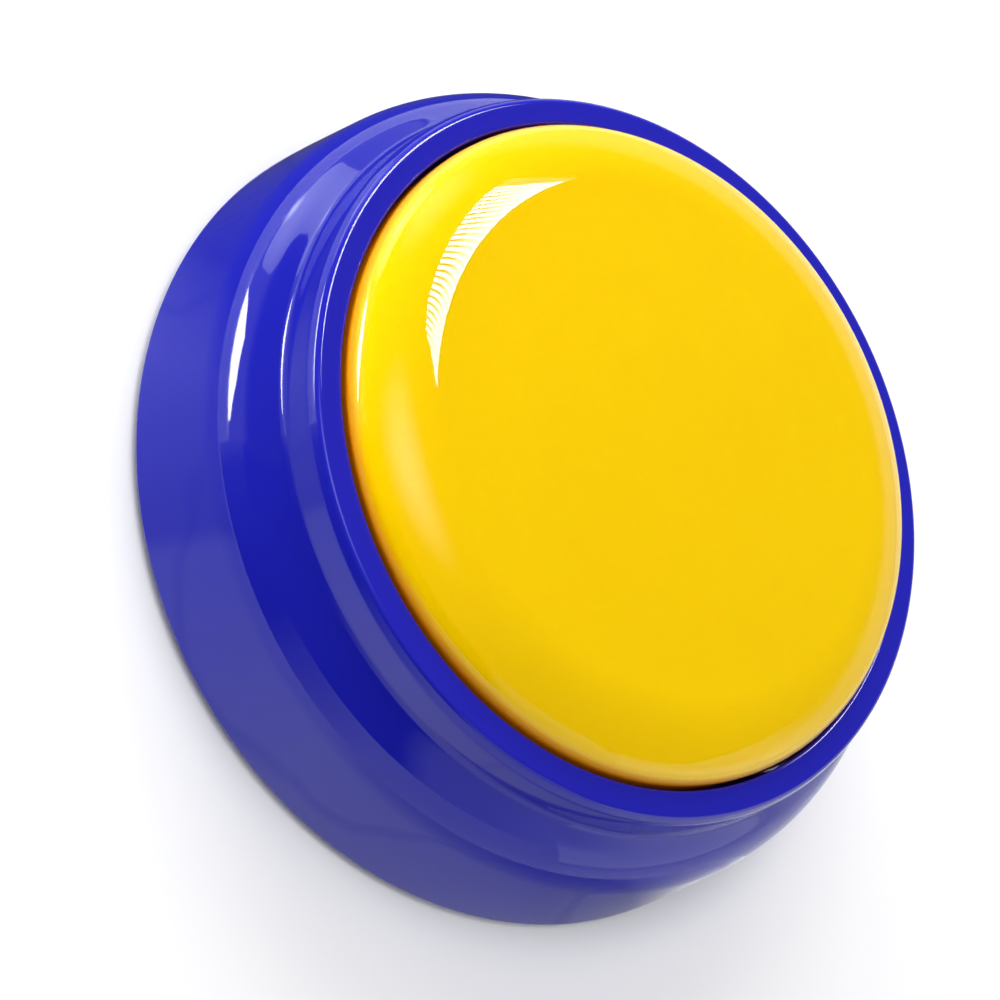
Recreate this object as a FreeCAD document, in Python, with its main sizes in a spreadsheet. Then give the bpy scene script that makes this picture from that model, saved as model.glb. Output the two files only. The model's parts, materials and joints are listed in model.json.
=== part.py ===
import FreeCAD, Part
import math
import os
import re
import Sketcher

# A round quiz buzzer: a large domed cap that travels into a flared two-piece case, on springs, and
# presses a rubber dome switch on a sound board.  Millimetres, +Z up, the origin at the middle of the
# surface that the feet stand on.

SIZES = {
    # feet and case outline
    "foot_proud": 1.0,          # height of the case above the surface
    "foot_radius": 4.0,
    "foot_thick": 1.6,
    "foot_room": 0.1,           # room round a foot in its recess
    "foot_across": 32.5,        # the feet's places from the middle, along X
    "foot_along": 18.75,        # and along Y
    "base_radius": 45.0,
    "shoulder_reach": 43.25,    # radius and level of the shoulder's corner, before rounding
    "shoulder_level": 15.9,
    "shoulder_round": 9.0,
    "root_reach": 38.85,        # foot of the bezel, where the shoulder's slope meets it
    "root_level": 19.7,
    "root_round": 1.6,
    "bezel_reach": 38.62,
    "bezel_level": 24.75,
    "bezel_fall": 1.1,          # the bezel's outer bevel starts this far under its face
    "bezel_edge": 38.1,         # and ends here
    "bezel_round": 1.6,
    "edge_round": 0.7,
    "lip_round": 0.35,
    "foot_round": 0.4,          # free edges of the skirt and of the cap
    "well_radius": 35.37,       # the well that the cap travels in
    "wall_thick": 2.0,
    "collar_thick": 1.6,
    # ledge at the well's foot
    "ledge_reach": 23.5,
    "ledge_level": 15.9,
    "ledge_thick": 1.5,
    # case screws and the posts they join
    "post_ring": 38.0,
    "boss_radius": 3.25,
    "boss_foot": 6.3,
    "boss_top": 16.4,
    "pilot_top": 15.0,
    "screw_shank": 1.1,
    "screw_fit": 0.05,          # room round a screw's shank in the hole it taps
    "screw_room": 0.3,          # and in a hole that it only passes through
    "head_room": 0.25,          # room round a sunk screw head
    "screw_tip": 14.0,
    "screw_seat": 4.5,
    "head_radius": 2.5,
    "head_thick": 1.8,
    "post_radius": 4.0,
    # bottom case
    "plate_radius": 42.6,
    "floor_thick": 1.8,
    "lip_radius": 42.1,
    "lip_thick": 1.2,
    "lip_top": 4.8,
    # cap
    "cap_radius": 34.95,
    "cap_top": 30.2,
    "crown_radius": 26.5,       # edge of the flat crown, where the rounded band starts
    "crown_level": 29.4,
    "band_break": 33.39,        # radius and level where the band's two arcs meet
    "band_level": 27.49,
    "band_bend": 13.4,
    "rim_bend": 3.2,
    "cap_thick": 2.0,
    "root_sink": 1.8,           # how far under the crown the legs and pads are rooted
    "cap_travel": 3.0,
    "stop_gap": 0.1,            # what is left over the ledge when the cap is down
    "boss_level": 21.9,         # underside of the cap's middle boss
    "plunger_radius": 3.5,
    "leg_ring": 31.0,
    "leg_thick": 1.6,
    "leg_wide": 6.0,
    "leg_foot": 13.4,
    "barb_reach": 1.2,
    "barb_level": 15.8,
    "slot_inner": 29.0,
    "slot_outer": 32.1,
    "slot_wide": 6.8,
    # return springs
    "spring_ring": 28.5,
    "spring_radius": 2.6,
    "spring_wire": 0.25,
    "spring_turns": 5.0,
    "spring_seat_radius": 3.2,
    "spring_seat_deep": 0.5,
    "spring_top": 25.5,
    "spigot_radius": 1.9,
    "spigot_foot": 23.6,
    "spigot_pad_radius": 3.4,
    # circuit board and what is on it
    "board_radius": 22.0,
    "board_level": 16.1,
    "board_thick": 1.2,
    "board_hole_ring": 19.5,
    "board_post_radius": 2.2,
    "board_screw_shank": 0.9,
    "board_screw_deep": 5.0,
    "board_pilot_deep": 6.0,
    "board_head_radius": 1.9,
    "board_head_thick": 1.3,
    "dome_top": 21.8,
    "dome_foot_radius": 5.0,
    "dome_head_radius": 3.0,
    "chip_x": -12.0,
    "chip_y": 4.0,
    "chip_radius": 4.2,
    "chip_tall": 1.4,
    "capacitor_x": 12.0,
    "capacitor_y": 6.0,
    "capacitor_radius": 2.5,
    "capacitor_tall": 5.0,
    "resistor_x": -13.0,        # the first of the row
    "resistor_y": -7.0,
    "resistor_pitch": 3.2,
    "transistor_x": 8.0,
    "transistor_y": -8.0,
    # battery bay, for two cells side by side
    "bay_middle": -1.5,         # the bay's middle along Y
    "bay_long": 50.8,
    "bay_wide": 22.8,
    "bay_roof": 13.9,
    "bay_wall": 1.3,
    "roof_thick": 1.2,
    "cell_radius": 5.15,
    "cell_long": 43.7,
    "nub_radius": 1.9,
    "nub_long": 0.8,
    "cell_level": 8.3,          # height of the cells' axes
    "cell_spread": 5.6,         # each cell's axis from the bay's middle
    "cell_shift": 1.8,          # each cell sits this much towards its positive contact
    "contact_thick": 0.4,
    "contact_wide": 8.0,
    "contact_foot": 4.4,
    "contact_tall": 8.0,
    "contact_rise": 0.5,        # height of the dimple that a cell's nub touches
    "coil_wire": 0.3,
    "coil_big": 3.2,
    "coil_small": 1.8,
    "coil_turns": 3.0,
    "lug_long": 3.4,
    "lug_wide": 2.0,
    "lug_level": 7.0,
    # battery door
    "door_left": -27.5,
    "door_right": 35.0,
    "door_wide": 24.2,
    "door_thick": 1.7,
    "door_gap": 0.25,
    "tab_wide": 4.0,
    "tab_spread": 7.0,
    "tab_tip": -29.5,
    "tab_root": -26.2,
    "tab_foot": 2.9,
    "tab_top": 3.9,
    "tab_window_top": 4.9,
    "door_screw_x": 31.0,
    "door_screw_shank": 1.2,
    "door_screw_room": 0.4,
    "door_screw_tip": 6.8,
    "door_head_radius": 2.4,
    "door_head_thick": 1.0,
    "door_boss_radius": 3.0,
    "door_boss_top": 8.0,
    # speaker
    "speaker_y": 26.0,
    "speaker_radius": 14.0,
    "speaker_seat_inner": 12.2,
    "speaker_seat_top": 3.6,
    "gasket_thick": 0.6,
    "flange_thick": 0.8,
    "speaker_back": 8.2,
    "basket_back_radius": 8.0,
    "basket_thick": 0.6,
    "magnet_radius": 7.2,
    "magnet_top": 11.4,
    "cone_thick": 0.3,
    "fence_radius": 15.3,
    "fence_top": 5.0,
    "clamp_reach": 16.4,
    "clamp_post_radius": 2.0,
    "clamp_head_radius": 3.0,
    "clamp_head_thick": 0.9,
    "terminal_ring": 14.2,
    "terminal_long": 2.6,
    "terminal_wide": 6.0,
    "terminal_thick": 0.8,
    "grille_hole": 0.9,
    "grille_pitch": 3.4,
    # power switch
    "switch_y": -26.0,
    "switch_long": 8.5,
    "switch_wide": 3.7,
    "switch_top": 6.5,
    "switch_wall": 0.6,
    "switch_travel": 2.0,
    "knob_long": 2.0,
    "knob_wide": 1.5,
    "knob_foot": 1.15,
    "carrier_long": 4.0,
    "carrier_top": 4.9,
    "recess_long": 11.0,
    "recess_wide": 6.0,
    "recess_roof": 1.9,
    "pin_pitch": 2.5,
    "pin_top": 9.0,
    # insulated leads
    "lead_radius": 0.45,
}

QUARTERS = (45, 135, 225, 315)      # case screws and cap legs
SQUARE = (0, 90, 180, 270)          # return springs
BOARD_POSTS = (42, 138, 270)        # board screws
TERMINAL_ANGLE = -50                # the speaker's terminal strip, about the speaker's axis
COIL_SEGMENT = 0.25                 # turns of a coil in each face of its wire
Z_AXIS = FreeCAD.Vector(0, 0, 1)
LETTERS = re.compile(r"[a-z][a-z_]*[a-z]")

doc = FreeCAD.newDocument("quiz_buzzer")
sheet = doc.addObject("Spreadsheet::Sheet", "dims")


def fill_sheet():
    """Writes each driving dimension to a cell that carries its name as an alias."""
    for row, (alias, size) in enumerate(SIZES.items(), start=1):
        sheet.set("A%d" % row, alias)
        sheet.set("B%d" % row, "%g" % size)
        sheet.setAlias("B%d" % row, alias)
    doc.recompute()


def formula(text):
    """The text with each dimension's name turned into a reference to its cell."""
    return LETTERS.sub(lambda word: "dims." + word.group() if word.group() in SIZES else word.group(), text)


def value(text):
    """What a formula comes to now."""
    return float(sheet.evalExpression(formula(text)))


def bind(thing, **formulas):
    """Ties properties to the sheet; __ in a name stands for a dot."""
    for name, text in formulas.items():
        thing.setExpression(name.replace("__", "."), formula(text))
    return thing


def place(thing, x, y, z, turn=None):
    """Puts an object at a point given by formulas, after an optional turn."""
    if turn:
        thing.Placement = FreeCAD.Placement(FreeCAD.Vector(), turn)
    return bind(thing, Placement__Base__x=x, Placement__Base__y=y, Placement__Base__z=z)


# ---- primitives and booleans

def rod(name, x, y, radius, low, high):
    """An upright cylinder between two levels."""
    solid = bind(doc.addObject("Part::Cylinder", name), Radius=radius, Height="%s - (%s)" % (high, low))
    return place(solid, x, y, low)


def block(name, x, y, long, wide, low, high):
    """A box centred on x, y between two levels."""
    solid = doc.addObject("Part::Box", name)
    bind(solid, Length=long, Width=wide, Height="%s - (%s)" % (high, low))
    return place(solid, "%s - (%s) / 2" % (x, long), "%s - (%s) / 2" % (y, wide), low)


def bar(name, x, y, z, radius, long):
    """A cylinder that starts at a point and runs along +X."""
    solid = bind(doc.addObject("Part::Cylinder", name), Radius=radius, Height=long)
    return place(solid, x, y, z, FreeCAD.Rotation(FreeCAD.Vector(0, 1, 0), 90))


def joined(name, solids):
    """One solid from several that touch or overlap."""
    fuse = doc.addObject("Part::MultiFuse", name)
    fuse.Shapes = solids
    fuse.Refine = True
    return fuse


def less(name, base, hollows):
    """The base with every hollow taken out of it."""
    cut = doc.addObject("Part::Cut", name)
    cut.Base = base
    cut.Tool = hollows[0] if len(hollows) == 1 else joined(name + "_hollows", hollows)
    cut.Refine = True
    return cut


def grouped(name, solids):
    """Identical pieces kept as separate solids of one node."""
    group = doc.addObject("Part::Compound", name)
    group.Links = solids
    return group


def polar(ring, angle):
    """The x and y formulas of a point on a ring about the middle."""
    return "%s * cos(%ddeg)" % (ring, angle), "%s * sin(%ddeg)" % (ring, angle)


# ---- sketches and bodies

def new_body(label):
    return doc.addObject("PartDesign::Body", label)


def origin_part(body, role):
    return next(item for item in body.Origin.OriginFeatures if item.Role == role)


def add_sketch(body, name, role, level="0", turn=0):
    """A sketch on one of the body's own origin planes, raised by a formula and turned about Z."""
    sketch = body.newObject("Sketcher::SketchObject", name)
    sketch.AttachmentSupport = (origin_part(body, role), [""])
    sketch.MapMode = "FlatFace"
    sketch.AttachmentOffset = FreeCAD.Placement(FreeCAD.Vector(), FreeCAD.Rotation(Z_AXIS, turn))
    return bind(sketch, AttachmentOffset__Base__z=level)


def pin_point(sketch, element, point, across, up):
    """Ties a point of a sketch to its distances from the sketch's origin."""
    for kind, axis_line, text in (("DistanceX", -2, across), ("DistanceY", -1, up)):
        size = value(text)
        if abs(size) < 1e-9:
            sketch.addConstraint(Sketcher.Constraint("PointOnObject", element, point, axis_line))
            continue
        ends = (-1, 1, element, point) if size > 0 else (element, point, -1, 1)
        number = sketch.addConstraint(Sketcher.Constraint(kind, *ends, abs(size)))
        sketch.setExpression("Constraints[%d]" % number, formula(text if size > 0 else "-(%s)" % text))


def bent_middle(start, end, radius):
    """The middle of the short arc from start to end; a positive radius bulges to the left."""
    chord = end - start
    half = chord.Length / 2
    rise = abs(radius) - math.sqrt(radius * radius - half * half)
    left = FreeCAD.Vector(-chord.y, chord.x, 0).normalize()
    return (start + end) / 2 + left * math.copysign(rise, radius)


def draw_outline(sketch, corners):
    """A closed outline.  A corner is (across, up), or (across, up, bend) when an arc leaves it."""
    spots = [FreeCAD.Vector(value(corner[0]), value(corner[1]), 0) for corner in corners]
    count = len(corners)
    for number, corner in enumerate(corners):
        start, end = spots[number], spots[(number + 1) % count]
        if len(corner) == 2:
            sketch.addGeometry(Part.LineSegment(start, end))
            continue
        radius = value(corner[2])
        sketch.addGeometry(Part.Arc(start, bent_middle(start, end, radius), end))
        bend = sketch.addConstraint(Sketcher.Constraint("Radius", number, abs(radius)))
        sketch.setExpression("Constraints[%d]" % bend, formula("abs(%s)" % corner[2]))
    first_ends = [arc_start(sketch, number, spots[number]) for number in range(count)]
    for number, corner in enumerate(corners):
        before = (number - 1) % count
        sketch.addConstraint(Sketcher.Constraint(
            "Coincident", before, 3 - first_ends[before], number, first_ends[number]))
        pin_point(sketch, number, first_ends[number], corner[0], corner[1])


def arc_start(sketch, number, spot):
    """Which end of an element, 1 or 2, lies at the spot: an arc may have been stored reversed."""
    return 1 if sketch.getPoint(number, 1).distanceToPoint(spot) < 1e-6 else 2


def draw_box(sketch, x, y, long, wide):
    """A rectangle centred on x, y."""
    sides = [("-", "-"), ("+", "-"), ("+", "+"), ("-", "+")]
    draw_outline(sketch, [("%s %s (%s) / 2" % (x, sx, long), "%s %s (%s) / 2" % (y, sy, wide))
                          for sx, sy in sides])


def draw_circle(sketch, x, y, radius):
    number = sketch.addGeometry(Part.Circle(FreeCAD.Vector(value(x), value(y), 0), Z_AXIS, value(radius)))
    bound = sketch.addConstraint(Sketcher.Constraint("Radius", number, value(radius)))
    sketch.setExpression("Constraints[%d]" % bound, formula(radius))
    pin_point(sketch, number, 3, x, y)


def turned(label, corners):
    """A body made by turning an outline of radius and level about +Z."""
    body = new_body(label)
    sketch = add_sketch(body, label + "_outline", "XZ_Plane")
    draw_outline(sketch, corners)
    solid = body.newObject("PartDesign::Revolution", label + "_turned")
    solid.Profile = sketch
    solid.ReferenceAxis = (sketch, ["V_Axis"])
    solid.Angle = 360
    doc.recompute()
    return body


def pad(body, sketch, long):
    feature = body.newObject("PartDesign::Pad", sketch.Name + "_pad")
    feature.Profile = sketch
    bind(feature, Length=long)
    doc.recompute()
    return feature


def pocket(body, sketch, deep):
    """Cuts down from the sketch's plane, and proves that something was cut."""
    before = body.Shape.Volume
    feature = body.newObject("PartDesign::Pocket", sketch.Name + "_pocket")
    feature.Profile = sketch
    bind(feature, Length=deep)
    doc.recompute()
    if body.Shape.Volume > before - 1e-6:
        raise RuntimeError(sketch.Name + " cuts nothing")
    return feature


def repeat_round(body, features, count):
    """Repeats features about the body's Z axis."""
    pattern = body.newObject("PartDesign::PolarPattern", features[0].Name + "_round")
    pattern.Originals = features
    pattern.Axis = (origin_part(body, "Z_Axis"), [""])
    pattern.Angle = 360
    pattern.Occurrences = count
    body.Tip = pattern
    doc.recompute()


def round_rings(body, name, rings, radius):
    """Rounds the circular edges that lie at the given (radius, level) pairs."""
    base = body.Tip
    spots = [(value(ring), value(level)) for ring, level in rings]
    names = []
    for number, edge in enumerate(base.Shape.Edges, start=1):
        if edge.Degenerated or not isinstance(edge.Curve, Part.Circle):
            continue
        here = (edge.Curve.Radius, edge.Curve.Center.z)
        if any(math.dist(here, spot) < 1e-3 for spot in spots):
            names.append("Edge%d" % number)
    if len(names) < len(spots):
        raise RuntimeError("%s: %d of %d edges found" % (name, len(names), len(spots)))
    fillet = body.newObject("PartDesign::Fillet", name)
    fillet.Base = (base, names)
    bind(fillet, Radius=radius)
    doc.recompute()


# ---- the case

FLOOR_TOP = "foot_proud + floor_thick"
LEDGE_TOP = "ledge_level + ledge_thick"
COLLAR_REACH = "well_radius + collar_thick"
CAP_FOOT = LEDGE_TOP + " + cap_travel + stop_gap"


def top_case():
    """The flared shell with its bezel, the well for the cap, and the ledge that stops the cap."""
    inner_shoulder = "shoulder_reach - wall_thick"
    body = turned("top_case", [
        ("base_radius", "foot_proud"),
        ("shoulder_reach", "shoulder_level"),
        ("root_reach", "root_level"),
        ("bezel_reach", "bezel_level - bezel_fall"),
        ("bezel_edge", "bezel_level"),
        ("well_radius", "bezel_level"),
        ("well_radius", LEDGE_TOP),
        ("ledge_reach", LEDGE_TOP),
        ("ledge_reach", "ledge_level"),
        (COLLAR_REACH, "ledge_level"),
        (COLLAR_REACH, "root_level - wall_thick * 0.75"),
        (inner_shoulder, "shoulder_level - wall_thick * 0.8"),
        ("base_radius - wall_thick", "foot_proud"),
    ])
    round_rings(body, "shoulder", [("shoulder_reach", "shoulder_level")], "shoulder_round")
    round_rings(body, "inner_shoulder", [(inner_shoulder, "shoulder_level - wall_thick * 0.8")],
                "shoulder_round - wall_thick")
    round_rings(body, "root", [("root_reach", "root_level")], "root_round")
    round_rings(body, "bullnose", [("bezel_reach", "bezel_level - bezel_fall")], "bezel_round")
    round_rings(body, "bezel_rim", [("bezel_edge", "bezel_level")], "edge_round")
    round_rings(body, "lip", [("well_radius", "bezel_level")], "lip_round")
    round_rings(body, "skirt_edge", [("base_radius", "foot_proud")], "foot_round")

    bosses = add_sketch(body, "boss_outline", "XY_Plane", "boss_foot", QUARTERS[0])
    draw_circle(bosses, "post_ring", "0", "boss_radius")
    boss_pad = pad(body, bosses, "boss_top - boss_foot")
    pilots = add_sketch(body, "pilot_outline", "XY_Plane", "pilot_top", QUARTERS[0])
    draw_circle(pilots, "post_ring", "0", "screw_shank + screw_fit")
    pilot_cut = pocket(body, pilots, "pilot_top - boss_foot")
    slots = add_sketch(body, "slot_outline", "XY_Plane", LEDGE_TOP, QUARTERS[0])
    draw_box(slots, "(slot_inner + slot_outer) / 2", "0", "slot_outer - slot_inner", "slot_wide")
    slot_cut = pocket(body, slots, "ledge_thick")
    seats = add_sketch(body, "seat_outline", "XY_Plane", LEDGE_TOP)
    draw_circle(seats, "spring_ring", "0", "spring_seat_radius")
    seat_cut = pocket(body, seats, "spring_seat_deep")
    repeat_round(body, [boss_pad, pilot_cut, slot_cut, seat_cut], len(QUARTERS))
    return body


def bay_shell():
    """The battery bay's walls and roof, as one box that less() will hollow."""
    return block("bay_shell", "0", "bay_middle", "bay_long + 2 * bay_wall", "bay_wide + 2 * bay_wall",
                 FLOOR_TOP, "bay_roof + roof_thick")


def grille_holes():
    """Rings of small holes under the speaker's cone."""
    holes = [rod("grille_0_0", "0", "speaker_y", "grille_hole", "0", FLOOR_TOP + " + 1")]
    for ring in (1, 2, 3):
        for step in range(6 * ring):
            angle = 60 * step / ring
            x = "%d * grille_pitch * cos(%gdeg)" % (ring, angle)
            y = "speaker_y + %d * grille_pitch * sin(%gdeg)" % (ring, angle)
            holes.append(rod("grille_%d_%d" % (ring, step), x, y, "grille_hole", "0", FLOOR_TOP + " + 1"))
    return holes


def bottom_case():
    """The floor with its posts, battery bay, speaker seat, switch recess and foot recesses."""
    solids = [rod("plate", "0", "0", "plate_radius", "foot_proud", FLOOR_TOP), bay_shell()]
    rim = rod("rim_outside", "0", "0", "lip_radius", FLOOR_TOP, "lip_top")
    rim_inside = rod("rim_inside", "0", "0", "lip_radius - lip_thick", FLOOR_TOP, "lip_top")
    solids.append(less("rim", rim, [rim_inside]))
    hollows = [
        block("bay_hollow", "0", "bay_middle", "bay_long", "bay_wide", "0", "bay_roof"),
        block("door_opening", "(door_left + door_right) / 2", "bay_middle",
              "door_right - door_left + 2 * door_gap", "door_wide + 2 * door_gap", "0", FLOOR_TOP),
    ]
    for angle in QUARTERS:
        x, y = polar("post_ring", angle)
        solids.append(rod("case_post_%d" % angle, x, y, "post_radius", "foot_proud", "boss_foot - 0.1"))
        hollows.append(rod("case_hole_%d" % angle, x, y, "screw_shank + screw_room", "0", "boss_foot"))
        hollows.append(rod("case_sink_%d" % angle, x, y, "head_radius + head_room", "0", "screw_seat"))
    for angle in BOARD_POSTS:
        x, y = polar("board_hole_ring", angle)
        solids.append(rod("board_post_%d" % angle, x, y, "board_post_radius", FLOOR_TOP, "board_level"))
        hollows.append(rod("board_pilot_%d" % angle, x, y, "board_screw_shank + screw_fit",
                           "board_level - board_pilot_deep", "board_level"))
    for number, (sx, sy) in enumerate(((1, 1), (-1, 1), (-1, -1), (1, -1))):
        hollows.append(rod("foot_recess_%d" % number, "%d * foot_across" % sx, "%d * foot_along" % sy,
                           "foot_radius + foot_room", "0", "foot_thick"))
    solids.append(rod("door_boss", "door_screw_x", "bay_middle", "door_boss_radius", FLOOR_TOP,
                      "door_boss_top"))
    solids.append(block("door_boss_web", "door_screw_x - 3", "bay_middle", "6", "3", FLOOR_TOP,
                        "door_boss_top"))
    solids.append(block("door_boss_ledge", "door_screw_x + 3.2", "bay_middle", "6.4", "3", FLOOR_TOP,
                        "door_boss_top - 2"))
    hollows.append(rod("door_boss_hole", "door_screw_x", "bay_middle", "door_screw_shank + door_screw_room",
                       "0", "door_screw_tip + 0.4"))
    for side in (-1, 1):
        hollows.append(block("tab_window_%d" % (side + 1), "-(bay_long + bay_wall) / 2",
                             "bay_middle + %d * tab_spread" % side, "bay_wall * 2", "tab_wide + 0.8",
                             FLOOR_TOP, "tab_window_top"))
        hollows.append(block("lug_slot_%d" % (side + 1), "(bay_long + bay_wall) / 2",
                             "bay_middle + %d * cell_spread" % side, "bay_wall * 2", "lug_wide + 0.6",
                             "lug_level - 0.3", "lug_level + contact_thick + 0.3"))
    speaker_solids, speaker_hollows = speaker_seat()
    switch_solids, switch_hollows = switch_seat()
    body = joined("bottom_solids", solids + speaker_solids + switch_solids)
    return less("bottom_case", body, hollows + speaker_hollows + switch_hollows)


def speaker_seat():
    """A low ring under the flange, a fence round it, and two posts for the clamp screws."""
    seat = less("speaker_seat", rod("seat_outside", "0", "speaker_y", "speaker_radius + 0.5", FLOOR_TOP,
                                    "speaker_seat_top"),
                [rod("seat_inside", "0", "speaker_y", "speaker_seat_inner", FLOOR_TOP, "speaker_seat_top")])
    fence = less("speaker_fence",
                 rod("fence_outside", "0", "speaker_y", "fence_radius", FLOOR_TOP, "fence_top"),
                 [rod("fence_inside", "0", "speaker_y", "speaker_radius + 0.3", FLOOR_TOP, "fence_top")])
    solids, hollows = [seat, fence], grille_holes()
    for side in (-1, 1):
        x = "%d * clamp_reach" % side
        solids.append(rod("clamp_post_%d" % (side + 1), x, "speaker_y", "clamp_post_radius", FLOOR_TOP,
                          "fence_top"))
        hollows.append(rod("clamp_pilot_%d" % (side + 1), x, "speaker_y", "board_screw_shank + screw_fit",
                           "foot_proud + 0.6", "fence_top"))
    hollows.append(rod("speaker_room", "0", "speaker_y", "speaker_radius + 0.3", "speaker_seat_top",
                       "fence_top + 4"))
    return solids, hollows


def switch_seat():
    """Two ribs that hold the power switch, the recess under it and the slot for its knob."""
    solids = []
    for side in (-1, 1):
        solids.append(block("switch_rib_%d" % (side + 1), "%d * ((switch_long + 1.2) / 2 + 0.1)" % side,
                            "switch_y", "1.2", "switch_wide + 2", FLOOR_TOP, "switch_top - 0.5"))
    hollows = [
        block("switch_recess", "0", "switch_y", "recess_long", "recess_wide", "0", "recess_roof"),
        block("knob_slot", "0", "switch_y", "knob_long + switch_travel + 0.4", "knob_wide + 0.4", "0",
              FLOOR_TOP + " + 0.1"),
    ]
    return solids, hollows


def case_screws():
    """Four pan-head screws that go up through the bottom case into the top case's bosses."""
    screws = []
    for angle in QUARTERS:
        x, y = polar("post_ring", angle)
        screws.append(screw("case_screw_%d" % angle, x, y, "screw_shank", "screw_seat", "screw_tip",
                            "head_radius", "screw_seat - head_thick"))
    return grouped("case_screws", screws)


def screw(name, x, y, shank, seat, tip, head, head_end):
    """A screw with a cross recess: the shank runs from the seat to the tip, the head the other way."""
    upward = value(tip) > value(seat)
    shank_span = (seat, tip) if upward else (tip, seat)
    head_span = (head_end, seat) if upward else (seat, head_end)
    body = joined(name + "_body", [rod(name + "_shank", x, y, shank, *shank_span),
                                   rod(name + "_head", x, y, head, *head_span)])
    deep = "0.7 * abs(%s - (%s))" % (head_end, seat)
    span = (head_end, "%s + %s" % (head_end, deep)) if upward else ("%s - %s" % (head_end, deep), head_end)
    cross = [block(name + "_slot_a", x, y, "%s * 1.2" % head, "%s * 0.28" % head, *span),
             block(name + "_slot_b", x, y, "%s * 0.28" % head, "%s * 1.2" % head, *span)]
    return less(name, body, cross)


def rubber_feet():
    """Four flat rubber discs that stand out of their recesses by foot_proud."""
    feet = []
    for number, (sx, sy) in enumerate(((1, 1), (-1, 1), (-1, -1), (1, -1))):
        feet.append(rod("foot_%d" % number, "%d * foot_across" % sx, "%d * foot_along" % sy, "foot_radius",
                        "0", "foot_thick"))
    return grouped("rubber_feet", feet)


# ---- the cap and its springs

def push_cap():
    """The domed cap, its middle plunger, four spring spigots and four barbed legs."""
    crown_bend = "((crown_radius ^ 2) + (cap_top - crown_level) ^ 2) / (2 * (cap_top - crown_level))"
    inner_band = "crown_radius + 0.5"
    inner_crown = "crown_level - cap_thick"
    body = turned("push_cap", [
        ("0", "cap_top", crown_bend),
        ("crown_radius", "crown_level", "band_bend"),
        ("band_break", "band_level", "rim_bend"),
        ("cap_radius", "bezel_level"),
        ("cap_radius", CAP_FOOT),
        ("cap_radius - cap_thick", CAP_FOOT),
        ("cap_radius - cap_thick", "bezel_level"),
        (inner_band, inner_crown),
        ("plunger_radius", inner_crown + " + 0.2"),
        ("plunger_radius", "boss_level"),
        ("0", "boss_level"),
    ])
    round_rings(body, "cap_foot_edge", [("cap_radius", CAP_FOOT)], "foot_round")
    pads = add_sketch(body, "spigot_pad_outline", "XY_Plane", "spring_top")
    draw_circle(pads, "spring_ring", "0", "spigot_pad_radius")
    pad_feature = pad(body, pads, "crown_level - root_sink - spring_top")
    spigots = add_sketch(body, "spigot_outline", "XY_Plane", "spigot_foot")
    draw_circle(spigots, "spring_ring", "0", "spigot_radius")
    spigot_feature = pad(body, spigots, "spring_top - spigot_foot")
    legs = add_sketch(body, "leg_outline", "XZ_Plane")
    eighth_turn = FreeCAD.Rotation(FreeCAD.Vector(0, 1, 0), QUARTERS[0])
    legs.AttachmentOffset = FreeCAD.Placement(FreeCAD.Vector(), eighth_turn)
    outer_face = "leg_ring + leg_thick / 2"
    draw_outline(legs, [
        ("leg_ring - leg_thick / 2", "crown_level - root_sink"),
        ("leg_ring - leg_thick / 2", "leg_foot"),
        (outer_face, "leg_foot"),
        (outer_face + " + barb_reach", "leg_foot + barb_reach"),
        (outer_face + " + barb_reach", "barb_level"),
        (outer_face, "barb_level"),
        (outer_face, "crown_level - root_sink"),
    ])
    leg_feature = pad(body, legs, "leg_wide")
    leg_feature.Midplane = True
    doc.recompute()
    repeat_round(body, [pad_feature, spigot_feature, leg_feature], len(SQUARE))
    return body


def coil(name, x, y, z, radius, wire, tall, turns, cone=0, turn=None):
    """A coil spring of round wire, standing on a point, with an optional taper in degrees."""
    helix = doc.addObject("Part::Helix", name + "_path")
    bind(helix, Radius=radius, Height=tall, Pitch="(%s) / (%s)" % (tall, turns))
    helix.Angle = cone
    helix.SegmentLength = COIL_SEGMENT
    ring = bind(doc.addObject("Part::Circle", name + "_wire"), Radius=wire)
    place(ring, radius, "0", "0", FreeCAD.Rotation(FreeCAD.Vector(1, 0, 0), 90))
    sweep = doc.addObject("Part::Sweep", name)
    doc.recompute()
    sweep.Sections = [ring]
    sweep.Spine = (helix, ["Edge%d" % (number + 1) for number in range(len(helix.Shape.Edges))])
    sweep.Solid = True
    sweep.Frenet = True
    return place(sweep, x, y, z, turn)


def return_springs():
    """Four coil springs between their seats in the ledge and the cap's spigot pads."""
    seat = LEDGE_TOP + " - spring_seat_deep"
    springs = []
    for angle in SQUARE:
        x, y = polar("spring_ring", angle)
        tall = "spring_top - (%s) - 2 * spring_wire - 0.1" % seat
        springs.append(coil("spring_%d" % angle, x, y, seat + " + spring_wire + 0.05", "spring_radius",
                            "spring_wire", tall, "spring_turns"))
    return grouped("return_springs", springs)


def contact_dome():
    """The silicone dome switch that stands on the board under the cap's plunger."""
    board_top = "board_level + board_thick"
    return turned("contact_dome", [
        ("0", "dome_top"),
        ("dome_head_radius", "dome_top"),
        ("dome_head_radius", "dome_top - 1.4"),
        ("dome_foot_radius - 0.8", board_top + " + 0.8"),
        ("dome_foot_radius", board_top + " + 0.8"),
        ("dome_foot_radius", board_top),
        ("dome_foot_radius - 1.4", board_top),
        ("dome_head_radius - 0.8", "dome_top - 2.2"),
        ("0", "dome_top - 2.2"),
    ])


# ---- the sound board

BOARD_TOP = "board_level + board_thick"


def circuit_board():
    holes = []
    for angle in BOARD_POSTS:
        x, y = polar("board_hole_ring", angle)
        holes.append(rod("board_hole_%d" % angle, x, y, "board_screw_shank + screw_room", "board_level",
                         BOARD_TOP))
    disc = rod("board_disc", "0", "0", "board_radius", "board_level", BOARD_TOP)
    return less("circuit_board", disc, holes)


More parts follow.
